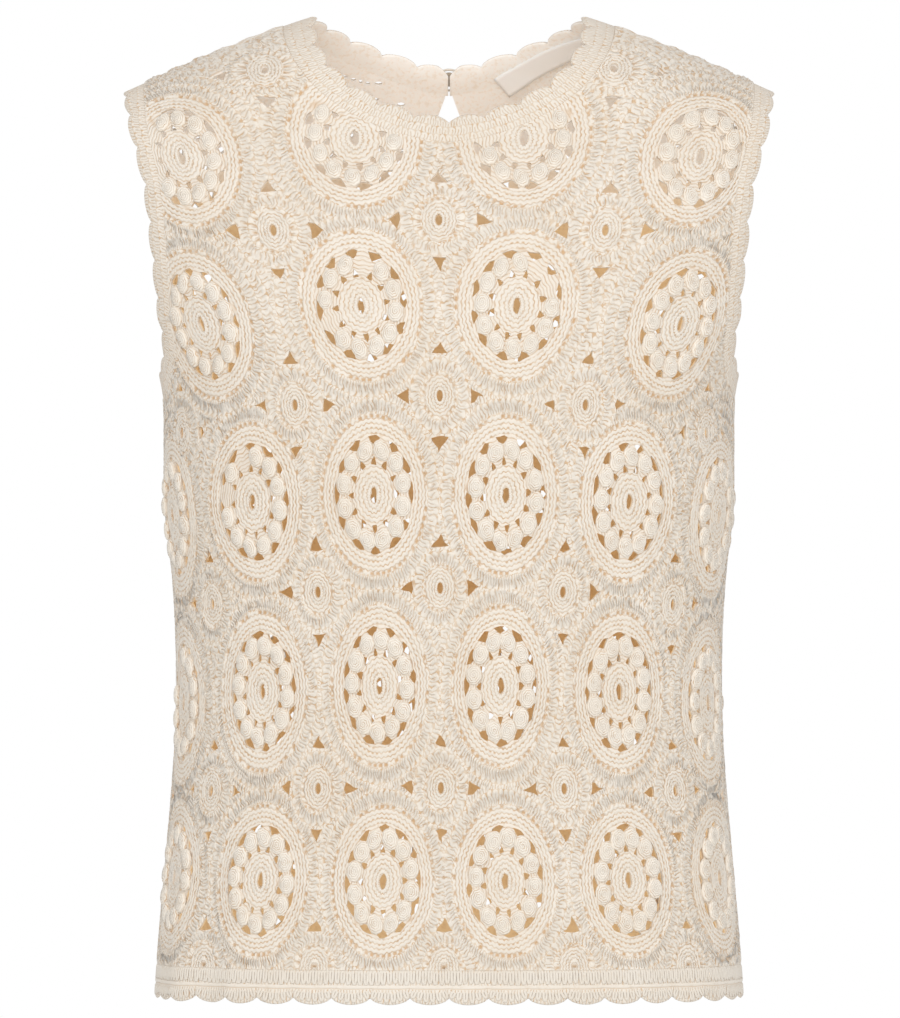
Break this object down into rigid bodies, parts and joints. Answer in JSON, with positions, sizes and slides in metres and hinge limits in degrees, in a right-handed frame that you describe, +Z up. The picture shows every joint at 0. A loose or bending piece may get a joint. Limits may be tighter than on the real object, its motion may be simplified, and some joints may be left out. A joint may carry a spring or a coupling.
{
  "type": "sleeveless crochet top",
  "caption": "Sleeveless crochet lace top of round medallions and small rosettes, worn open and hollow, with scalloped neck, armhole and hem bands and a buttoned back keyhole.",
  "frame": {"origin": "between the wearer's shoulders, on the centre line, at the height where the top hangs from them", "axes": "+Z up, -Y out of the front of the top, +X to the wearer's left"},
  "size_m": [0.3832, 0.2351, 0.5777],
  "materials": {
    "cotton_yarn": "matt cream cotton yarn, crocheted",
    "button_resin": "soft satin",
    "label_satin": "smooth satin, blank"
  },
  "bodies": {
    "root": {"front_panel": "cotton_yarn", "back_panel": "cotton_yarn", "neck_band": "cotton_yarn", "left_armhole_band": "cotton_yarn", "right_armhole_band": "cotton_yarn", "hem_band": "cotton_yarn", "back_button": "button_resin", "button_loop": "cotton_yarn", "neck_label": "label_satin"}
  },
  "joints": []
}
